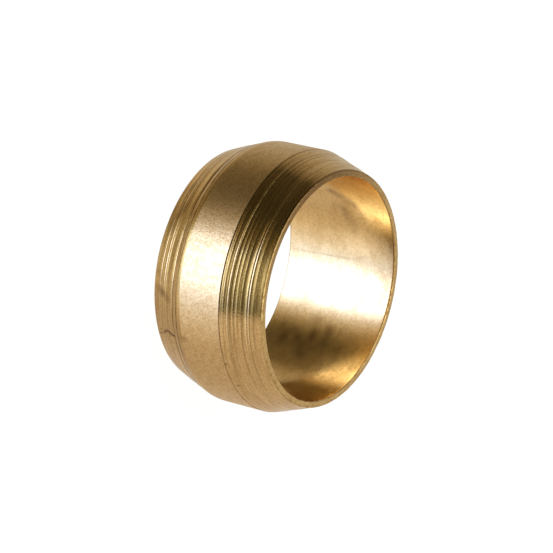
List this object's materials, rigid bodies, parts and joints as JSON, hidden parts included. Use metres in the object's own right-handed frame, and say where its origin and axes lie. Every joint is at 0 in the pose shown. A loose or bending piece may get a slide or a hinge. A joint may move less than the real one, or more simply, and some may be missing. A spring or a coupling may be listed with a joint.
{
  "type": "compression olive",
  "caption": "Turned brass ring with a plain band between grooved tapers and a through bore, squeezed onto a copper tube to seal a pipe joint.",
  "frame": {"origin": "centre of the bore at the back end face, on which the ring stands", "axes": "+Z along the bore, from the back end face to the front end face; the ring is round, so X and Y are free"},
  "size_m": [0.0178, 0.0178, 0.0087],
  "materials": {
    "brass": "turned: a satin band, brighter grooved tapers and a smooth bore"
  },
  "bodies": {
    "root": {"olive": "brass"}
  },
  "joints": []
}
